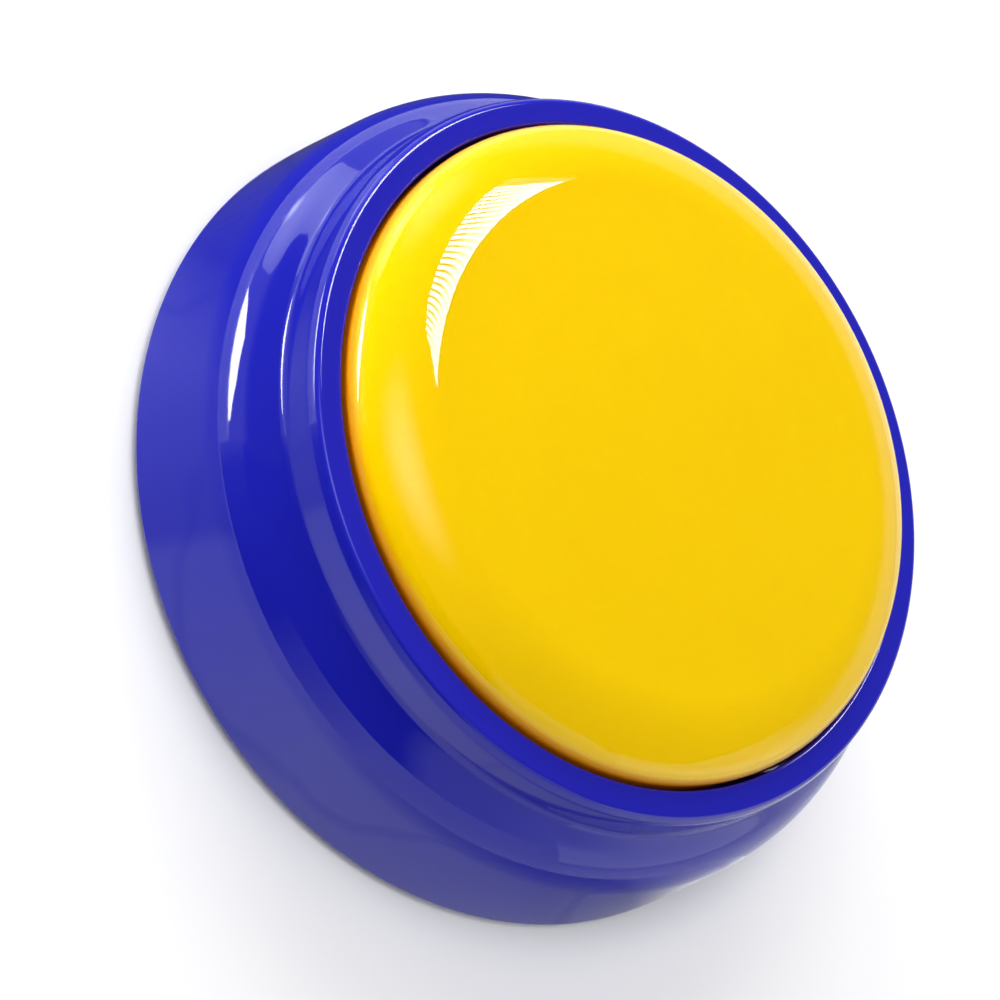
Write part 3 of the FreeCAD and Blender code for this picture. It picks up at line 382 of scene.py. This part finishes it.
# Each slot's finish.  Numbers after a colour are the roughness and, for a grained stuff, the grain's size,
# its depth and how far the colour spreads.
FINISHES = {
    "case_shell": blue_gloss,
    "cap_plastic": yellow_gloss,
    "base_plastic": grained("textured_blue_abs", scaled(BLUE, 0.85), 0.34, 0.00028, 0.000014, 0.06,
                            IOR=ABS_IOR),
    "foot_rubber": grained("black_rubber", (0.018, 0.018, 0.019), 0.72, 0.00022, 0.00002, 0.2),
    "screw_steel": metal("zinc_plate", (0.66, 0.67, 0.69), 0.28),
    "spring_steel": spring_metal,
    "silicone": silicone,
    "board_laminate": laminate("green_laminate", (0.010, 0.12, 0.035), (0.035, 0.22, 0.06)),
    "chip_epoxy": grained("black_epoxy", (0.012, 0.012, 0.013), 0.45, 0.0004, 0.00002),
    "capacitor_can": grained("capacitor_sleeve", (0.012, 0.016, 0.05), 0.3, 0.0008, 0.000006),
    "resistor_body": grained("resistor_lacquer", (0.03, 0.03, 0.032), 0.4, 0.0002, 0.000008),
    "transistor_body": grained("moulded_epoxy", (0.02, 0.02, 0.021), 0.55, 0.00015, 0.000008),
    "gasket_foam": grained("black_foam", (0.03, 0.03, 0.032), 0.95, 0.0006, 0.00015, 0.3),
    "speaker_steel": metal("pressed_steel", (0.55, 0.56, 0.58), 0.35),
    "cone_film": grained("pressed_paper", (0.06, 0.058, 0.055), 0.8, 0.0005, 0.00004, 0.25),
    "magnet_steel": metal("magnet_plate", (0.6, 0.6, 0.62), 0.3),
    "fibre_strip": grained("brown_fibre", (0.22, 0.11, 0.045), 0.7, 0.0004, 0.00003, 0.2),
    "cell_jacket": jacket("cell_sleeve", (0.05, 0.055, 0.06), (0.62, 0.36, 0.16), 11.8 * MM, 12.2 * MM),
    "contact_nickel": metal("nickel_plate", (0.72, 0.70, 0.66), 0.2),
    "switch_steel": metal("tinned_steel", (0.7, 0.71, 0.72), 0.3),
    "switch_knob": grained("black_acetal", (0.014, 0.014, 0.015), 0.38, 0.0002, 0.000008, 0.15),
    "pin_brass": metal("tinned_brass", (0.72, 0.6, 0.32), 0.25),
    "lead_red": grained("red_pvc", (0.55, 0.012, 0.010), 0.35, 0.0008, 0.000006, 0.06),
    "lead_black": grained("black_pvc", (0.014, 0.014, 0.015), 0.35, 0.0008, 0.000006, 0.15),
}


def finish_nodes():
    """Gives every carried-over CAD node its slot's finish."""
    for part in frame["record"]["subparts"]:
        for slot in frame["nodes"][part["node"]].material_slots:
            slot.material = FINISHES[part["material_slot"]]


# ---- the case and the cap

def case_outline():
    """Outside from the foot up to the bezel, down the well to the ledge, and back along the inside."""
    foot_radius, foot_round = 45.0 * MM, 0.4 * MM
    shoulder_radius, shoulder_level, shoulder_round = 43.25 * MM, 15.9 * MM, 9 * MM
    root_radius, root_level, root_round = 38.85 * MM, 19.7 * MM, 1.6 * MM
    side_radius, side_fall, side_round = 38.62 * MM, 1.1 * MM, 1.6 * MM
    bezel_radius, bezel_round = 38.1 * MM, 0.7 * MM
    well_radius, lip_round, well_round = 35.37 * MM, 0.35 * MM, 0.3 * MM
    ledge_radius, ledge_level, ledge_round = 23.5 * MM, 17.4 * MM, 0.2 * MM
    under_level = 15.9 * MM
    neck_radius, neck_level, neck_round = 36.97 * MM, 18.2 * MM, 0.3 * MM
    inner_radius, inner_level, inner_round = 41.25 * MM, 14.3 * MM, 7 * MM
    foot_inside, foot_inside_round = 43.0 * MM, 0.2 * MM
    return outline([
        (foot_radius, CASE_FOOT, foot_round),
        (shoulder_radius, shoulder_level, shoulder_round),
        (root_radius, root_level, root_round),
        (side_radius, BEZEL_LEVEL - side_fall, side_round),
        (bezel_radius, BEZEL_LEVEL, bezel_round),
        (well_radius, BEZEL_LEVEL, lip_round),
        (well_radius, ledge_level, well_round),
        (ledge_radius, ledge_level, ledge_round),
        (ledge_radius, under_level, 0),
        (neck_radius, under_level, 0),
        (neck_radius, neck_level, neck_round),
        (inner_radius, inner_level, inner_round),
        (foot_inside, CASE_FOOT, foot_inside_round),
    ])


def cap_outline():
    """Crown, rounded band and skirt outside; a plain hollow inside round the plunger."""
    crown_radius, crown_level = 26.5 * MM, 29.4 * MM
    shelf_radius, shelf_level = 33.39 * MM, 27.49 * MM
    shelf_bend, edge_bend = 13.4 * MM, 3.2 * MM
    skirt_foot, skirt_inside = 20.5 * MM, 32.95 * MM
    hollow_level, hollow_radius, hollow_top = 24.75 * MM, 27.0 * MM, 27.4 * MM
    plunger_radius, plunger_top, plunger_foot = 3.5 * MM, 27.6 * MM, 21.9 * MM
    sag = CAP_TOP - crown_level
    crown_bend = (crown_radius ** 2 + sag ** 2) / (2 * sag)
    crown, crown_edge = (0, CAP_TOP), (crown_radius, crown_level)
    shelf, rim = (shelf_radius, shelf_level), (CAP_RADIUS, BEZEL_LEVEL)
    points = [Vector(crown)]
    for start, end, bend in ((crown, crown_edge, crown_bend), (crown_edge, shelf, shelf_bend),
                             (shelf, rim, edge_bend)):
        points += arc_points(start, end, bend)
        points.append(Vector(end))
    inside = [
        (CAP_RADIUS, skirt_foot, 0.4 * MM),
        (skirt_inside, skirt_foot, 0.3 * MM),
        (skirt_inside, hollow_level, 2 * MM),
        (hollow_radius, hollow_top, 3 * MM),
        (plunger_radius, plunger_top, 0.5 * MM),
        (plunger_radius, plunger_foot, 0.3 * MM),
        (0, plunger_foot, 0),
    ]
    spots = [Vector(rim)] + [Vector(corner[:2]) for corner in inside] + [Vector(crown)]
    for number, (_, _, rounding) in enumerate(inside, start=1):
        if rounding:
            points += fillet_points(spots[number - 1], spots[number], spots[number + 1], rounding)
        else:
            points.append(spots[number])
    return points


smooth(new_piece("case_shell", lathe("case_shell", spaced(case_outline())), "case", ("top_case",),
                 blue_gloss))
smooth(new_piece("cap_dome", lathe("cap_dome", spaced(cap_outline())), "cap", ("push_cap",),
                 yellow_gloss))


# ---- the springs and the rubber dome, which give way under the cap

def tube(name, path, radius, sides=16):
    """A round wire that follows a path, closed at both ends."""
    mesh = bpy.data.meshes.new(name)
    bm = bmesh.new()
    rings = []
    side = Vector((0, 0, 1))
    for number, point in enumerate(path):
        ahead = (path[min(number + 1, len(path) - 1)] - path[max(number - 1, 0)]).normalized()
        side = (side - ahead * side.dot(ahead)).normalized()
        other = ahead.cross(side)
        rings.append([bm.verts.new(point + (side * math.cos(turn) + other * math.sin(turn)) * radius)
                      for turn in (2 * math.pi * step / sides for step in range(sides))])
    for ring, after in zip(rings, rings[1:]):
        for step in range(sides):
            near = (step + 1) % sides
            bm.faces.new((ring[step], ring[near], after[near], after[step]))
    bm.faces.new(rings[0])
    bm.faces.new(rings[-1])
    bmesh.ops.recalc_face_normals(bm, faces=bm.faces)
    bm.to_mesh(mesh)
    bm.free()
    return mesh


def join_meshes(name, meshes):
    """One mesh made of several, which are removed."""
    joined = bmesh.new()
    for mesh in meshes:
        joined.from_mesh(mesh)
        bpy.data.meshes.remove(mesh)
    result = bpy.data.meshes.new(name)
    joined.to_mesh(result)
    joined.free()
    return result


def coil_path(x, y, low, high, radius, turns, dead_turns=0.9, dead_rise=0.06, steps=48):
    """The middle line of a compression spring whose end turns lie almost flat."""
    count = round(turns * steps)
    points = []
    for step in range(count + 1):
        turn = step / steps
        live = min(max((turn - dead_turns) / (turns - 2 * dead_turns), 0), 1)
        rise = dead_rise * min(turn, dead_turns) / dead_turns + (1 - 2 * dead_rise) * live
        rise += dead_rise * max(turn - turns + dead_turns, 0) / dead_turns
        angle = 2 * math.pi * turn
        points.append(Vector((x + radius * math.cos(angle), y + radius * math.sin(angle),
                              low + (high - low) * rise)))
    return points


def return_springs():
    """Four springs between the ledge's seats and the cap's spigot pads."""
    low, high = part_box("return_springs")
    wire = 0.25 * MM
    radius = 2.6 * MM
    turns = 7
    ring = high.x - radius - wire
    springs = []
    for quarter in range(4):
        x, y = ring * math.cos(quarter * math.pi / 2), ring * math.sin(quarter * math.pi / 2)
        path = coil_path(x, y, low.z + wire, high.z - wire, radius, turns)
        springs.append(tube("spring_wire", path, wire))
    piece = new_piece("cap_springs", join_meshes("cap_springs", springs), "case", ("return_springs",),
                      spring_metal)
    smooth(piece)
    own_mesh(piece)


def contact_dome():
    """A silicone dome switch: a foot ring, a thin cone that buckles, and a solid head."""
    low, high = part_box("contact_dome")
    foot, head = low.z, high.z
    foot_outside, foot_inside, foot_thick = high.x, 3.7 * MM, 0.7 * MM
    cone_foot, cone_head, cone_rise, cone_drop = 4.0 * MM, 3.1 * MM, 0.9 * MM, 1.2 * MM
    head_radius, pill_radius = 3.0 * MM, 1.5 * MM
    head_thick, pill_drop = 1.6 * MM, 1.9 * MM
    inner_head, inner_drop = 2.5 * MM, 1.7 * MM
    inner_foot, inner_rise = 3.6 * MM, 0.3 * MM
    points = outline([
        (foot_outside, foot, 0.1 * MM),
        (foot_outside, foot + foot_thick, 0.2 * MM),
        (cone_foot, foot + cone_rise, 0.4 * MM),
        (cone_head, head - cone_drop, 0.4 * MM),
        (head_radius, head, 0.35 * MM),
        (0, head, 0),
        (0, head - head_thick, 0),
        (pill_radius, head - head_thick, 0.1 * MM),
        (pill_radius, head - pill_drop, 0.1 * MM),
        (inner_head, head - inner_drop, 0.3 * MM),
        (inner_foot, foot + inner_rise, 0.2 * MM),
        (foot_inside, foot, 0),
    ])
    mesh = lathe("rubber_dome", spaced(points), steps=96)
    piece = new_piece("rubber_dome", mesh, "case", ("contact_dome",), silicone)
    smooth(piece)
    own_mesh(piece)


return_springs()
contact_dome()
finish_nodes()


# ---- floor, lights and camera

def glow_nodes(name, strength):
    """An emission material, with its node tree and its emission node."""
    material = bpy.data.materials.new(name)
    material.use_nodes = True
    tree = material.node_tree
    tree.nodes.clear()
    out = tree.nodes.new("ShaderNodeOutputMaterial")
    glow = tree.nodes.new("ShaderNodeEmission")
    glow.inputs["Strength"].default_value = strength
    tree.links.new(glow.outputs[0], out.inputs[0])
    return material, tree, glow


def even_glow(name, strength):
    """A softbox's face, evenly bright."""
    return glow_nodes(name, strength)[0]


def soft_glow(name, strength, reach, core=0.0):
    """A face that is brightest in the middle and fades out at a reach from it, in metres."""
    material, tree, glow = glow_nodes(name, strength)
    place = tree.nodes.new("ShaderNodeTexCoord")
    length = tree.nodes.new("ShaderNodeVectorMath")
    length.operation = "LENGTH"
    tree.links.new(place.outputs["Object"], length.inputs[0])
    fade = map_range(tree, length.outputs["Value"], core, reach, strength, 0.0)
    tree.links.new(fade, glow.inputs["Strength"])
    clear = tree.nodes.new("ShaderNodeBsdfTransparent")
    both = tree.nodes.new("ShaderNodeAddShader")
    tree.links.new(glow.outputs[0], both.inputs[0])
    tree.links.new(clear.outputs[0], both.inputs[1])
    tree.links.new(both.outputs[0], tree.nodes["Material Output"].inputs[0])
    return material


def louvre_glow(name, strength, pitch, slope=0.085, fan=1.9):
    """A softbox behind thin slats: dark lines that fan out across it and fade towards its left side, and a
    dim strip along its lower edge."""
    material, tree, glow = glow_nodes(name, strength)
    place = tree.nodes.new("ShaderNodeTexCoord")
    split = tree.nodes.new("ShaderNodeSeparateXYZ")
    tree.links.new(place.outputs["Object"], split.inputs[0])
    x, y = split.outputs["X"], split.outputs["Y"]
    level = maths(tree, "DIVIDE", maths(tree, "SUBTRACT", y, maths(tree, "MULTIPLY", x, slope)),
                  maths(tree, "ADD", maths(tree, "MULTIPLY", x, fan), 1.0))
    wave = maths(tree, "SINE", maths(tree, "MULTIPLY", level, 2 * math.pi / pitch), 0.0)
    lines = map_range(tree, wave, 0.0, 0.6, 1.0, 0.0)
    least = map_range(tree, x, -50 * MM, 120 * MM, 0.6, 0.0)
    dim = map_range(tree, level, -114 * MM, -111 * MM, 0.1, 1.0)
    power = maths(tree, "MULTIPLY", maths(tree, "MAXIMUM", lines, least), dim)
    tree.links.new(maths(tree, "MULTIPLY", power, float(strength)), glow.inputs["Strength"])
    return material


def panel(name, azimuth, elevation, distance, corners, material):
    """A glowing panel that faces the object from a direction; its corners are millimetres on its face."""
    mesh = bpy.data.meshes.new(name)
    mesh.from_pydata([(x * MM, y * MM, 0) for x, y in corners], [], [range(len(corners))])
    mesh.materials.append(material)
    light = bpy.data.objects.new(name, mesh)
    bpy.context.scene.collection.objects.link(light)
    turn, rise = math.radians(azimuth), math.radians(elevation)
    way = Vector((math.cos(rise) * math.cos(turn), math.cos(rise) * math.sin(turn), math.sin(rise)))
    light.rotation_euler = way.to_track_quat("Z", "Y").to_euler()
    light.location = Vector((0, 0, LIGHT_CENTRE)) + way * distance
    light.visible_camera = False
    return light


def rectangle(wide, tall):
    """A rectangle's corners, about its middle."""
    return [(x * wide / 2, y * tall / 2) for x, y in ((-1, -1), (1, -1), (1, 1), (-1, 1))]


def rounded(wide, tall, radius, lift, steps=8):
    """A rectangle's corners, each turned into an arc, with its middle lifted."""
    corners = []
    for quarter, (right, up) in enumerate(((1, 1), (-1, 1), (-1, -1), (1, -1))):
        for step in range(steps + 1):
            angle = math.pi / 2 * (quarter + step / steps)
            corners.append((right * (wide / 2 - radius) + radius * math.cos(angle),
                            lift + up * (tall / 2 - radius) + radius * math.sin(angle)))
    return corners


def studio_lights():
    """What the case and the cap mirror, and the cloths that light them."""
    louvre_face = [(-62, -126), (180, -172), (222, -110), (226, -20),
                   (214, 90), (186, 170), (128, 210), (-62, 168)]
    side_face = [(-58, -18), (-30, 18), (4, 44), (60, 30), (110, -4), (110, -18)]
    louvre_light = louvre_glow("louvre_light", strength=30, pitch=10.5 * MM)
    louvre = panel("louvre_box", 114, 50, 0.9, louvre_face, louvre_light)
    louvre.visible_diffuse = False
    for name, azimuth, elevation, distance, face, glow in (
            ("side_box", -153, 0, 0.32, side_face, even_glow("side_light", 26)),
            ("left_card", 175, 8, 0.7, rounded(370, 240, 70, lift=20), soft_glow("left_light", 3.2, 0.42)),
            ("right_card", 14, 12, 0.8, rectangle(1100, 560), soft_glow("right_light", 0.8, 0.62, core=0.3)),
            ("left_core", 175, 1, 0.6, rectangle(120, 120), soft_glow("core_light", 6, 0.055)),
            ("top_box", -150, 75, 0.9, rectangle(700, 700), soft_glow("top_light", 3.2, 0.32)),
            ("cap_glow", 158, 30, 0.8, rectangle(500, 500), soft_glow("cap_light", 1.8, 0.24))):
        panel(name, azimuth, elevation, distance, face, glow)
    for name, azimuth, elevation, distance, face, strength in (
            ("scrim", -90, 84, 1.3, rectangle(1200, 1200), 2.4),
            ("key_scrim", 150, 32, 1.0, rectangle(900, 900), 3.1),
            ("front_scrim", -105, 22, 1.2, rectangle(1200, 700), 0.2)):
        cloth = panel(name, azimuth, elevation, distance, face, even_glow(name + "_light", strength))
        cloth.visible_glossy = False


def shade_reflection_sheet(name, near, far, tones, streak_depth=1.0, brightest=1.18, steps=90):
    """A painted reflection: a glowing grey sheet bent round the object, which lights nothing and is seen
    only as what the case mirrors.
    Each edge is a (radius, level); each tone is (degrees about the object, share of the brightest).
    Its fifth argument, when below 1, darkens wavy streaks across it."""
    first, last = tones[0][0], tones[-1][0]
    middle = (first + last) / 2
    mesh = bpy.data.meshes.new(name)
    spots = []
    for step in range(steps + 1):
        angle = math.radians(first - middle + (last - first) * step / steps)
        for radius, level in (near, far):
            spots.append((radius * math.cos(angle), radius * math.sin(angle), level))
    mesh.from_pydata(spots, [], [(2 * n, 2 * n + 1, 2 * n + 3, 2 * n + 2) for n in range(steps)])
    material, tree, glow = glow_nodes(name + "_glow", brightest)
    place = tree.nodes.new("ShaderNodeTexCoord")
    turn = tree.nodes.new("ShaderNodeTexGradient")
    turn.gradient_type = "RADIAL"
    streaks = tree.nodes.new("ShaderNodeTexWave")
    streaks.bands_direction = "DIAGONAL"
    streaks.inputs["Scale"].default_value = 20
    streaks.inputs["Distortion"].default_value = 3.0
    streaks.inputs["Detail Scale"].default_value = 2.0
    for texture in (streaks, turn):
        tree.links.new(place.outputs["Object"], texture.inputs["Vector"])
    ramp = tree.nodes.new("ShaderNodeValToRGB")
    tree.links.new(turn.outputs["Fac"], ramp.inputs["Fac"])
    stops = ramp.color_ramp.elements
    while len(stops) < len(tones):
        stops.new(0.5)
    for stop, (angle, tone) in zip(stops, tones):
        stop.position = 0.5 + (angle - middle) / 360
        stop.color = (tone, tone, tone, 1)
    streak_shade = map_range(tree, streaks.outputs["Fac"], 0.0, 0.03, streak_depth, 1.0)
    shade = maths(tree, "MULTIPLY", ramp.outputs["Color"], streak_shade)
    tree.links.new(maths(tree, "MULTIPLY", shade, brightest), glow.inputs["Strength"])
    mesh.materials.append(material)
    sheet = bpy.data.objects.new(name, mesh)
    sheet.rotation_euler.z = math.radians(middle)
    bpy.context.scene.collection.objects.link(sheet)
    for kind in ("camera", "diffuse", "transmission", "volume_scatter", "shadow"):
        setattr(sheet, "visible_" + kind, False)


def painted_reflection_sheets():
    """Painted reflections for the case to mirror: painted shade on the floor round the case's foot, and
    beyond it a low sheet with a high one above it, darker in stretches.
    """
    foot_inside, foot_outside, foot_level = 45.4 * MM, 86 * MM, 0.2 * MM
    far_sheet_inside, far_sheet_foot = 90 * MM, 0.4 * MM
    seam = (94 * MM, 31 * MM)
    far_sheet_top = (100 * MM, 90 * MM)
    # Painted shade: the floor round the foot as the skirt mirrors it, darker where the object's shadow
    # falls.
    shade_reflection_sheet("foot_shade_reflection", (foot_inside, foot_level), (foot_outside, foot_level),
               [(95, 1.0), (120, 0.06), (208, 0.08), (226, 0.45), (252, 0.35), (255, 0.68), (275, 0.85),
                (290, 0.92), (335, 0.28), (350, 0.25), (372, 1.0)], streak_depth=0.85)
    # Painted reflections: darker stretches of the room beyond the floor, for the skirt and the cap to
    # mirror.
    shade_reflection_sheet("low_reflection_sheet", (far_sheet_inside, far_sheet_foot), seam,
               [(236, 0.5), (240, 0.12), (252, 0.02), (268, 0.0), (284, 0.45), (298, 0.85), (328, 0.85),
                (340, 0.78)])
    shade_reflection_sheet("high_reflection_sheet", seam, far_sheet_top,
               [(236, 0.12), (240, 0.02), (303, 0.0), (311, 0.55), (326, 0.62), (340, 0.78)])


def plain_floor(half=3.0):
    """A plain white floor, under the feet."""
    mesh = bpy.data.meshes.new("floor")
    mesh.from_pydata([(x * half, y * half, 0) for x, y in ((-1, -1), (1, -1), (1, 1), (-1, 1))], [],
                     [(0, 1, 2, 3)])
    floor = bpy.data.objects.new("floor", mesh)
    bpy.context.scene.collection.objects.link(floor)
    make = Nodes("floor_white")
    make.set(Base_Color=(0.97, 0.97, 0.97, 1), Roughness=0.6, Specular_IOR_Level=0.0)
    mesh.materials.append(make.material)


def world_light(wall, ceiling, wall_top):
    """A pale room: white walls up to a height, given as the sine of its angle, and a dim ceiling."""
    world = bpy.data.worlds.new("studio")
    bpy.context.scene.world = world
    world.use_nodes = True
    tree = world.node_tree
    back = tree.nodes["Background"]
    back.inputs["Color"].default_value = (1, 1, 1, 1)
    place = tree.nodes.new("ShaderNodeTexCoord")
    split = tree.nodes.new("ShaderNodeSeparateXYZ")
    tree.links.new(place.outputs["Generated"], split.inputs[0])
    shade = map_range(tree, split.outputs["Z"], wall_top - 0.06, wall_top + 0.12, wall, ceiling)
    tree.links.new(shade, back.inputs["Strength"])


def photo_camera():
    """Looks down at the object from 50.6 degrees, rolled so that the cap leans to the right."""
    elevation = math.radians(50.57)
    roll = math.radians(63.9)
    distance = 282.9 * MM
    aim_left, aim_up = 0.62 * MM, 1.25 * MM
    ahead = Vector((0, math.cos(elevation), -math.sin(elevation)))
    right, up = Vector((1, 0, 0)), Vector((0, math.sin(elevation), math.cos(elevation)))
    right, up = right * math.cos(roll) + up * math.sin(roll), up * math.cos(roll) - right * math.sin(roll)
    centre = Vector((0, 0, CASE_FOOT)) - right * aim_left + up * aim_up
    data = bpy.data.cameras.new("camera")
    data.sensor_width = 36
    data.lens = 93.6
    data.clip_start = 0.01
    camera = bpy.data.objects.new("camera", data)
    bpy.context.scene.collection.objects.link(camera)
    turn = Matrix((right, up, -ahead)).transposed().to_4x4()
    camera.matrix_world = Matrix.Translation(centre - ahead * distance) @ turn
    bpy.context.scene.camera = camera


plain_floor()
painted_reflection_sheets()
world_light(wall=0.7, ceiling=0.10, wall_top=0.3)
studio_lights()
photo_camera()
bpy.context.scene.view_settings.view_transform = "Standard"
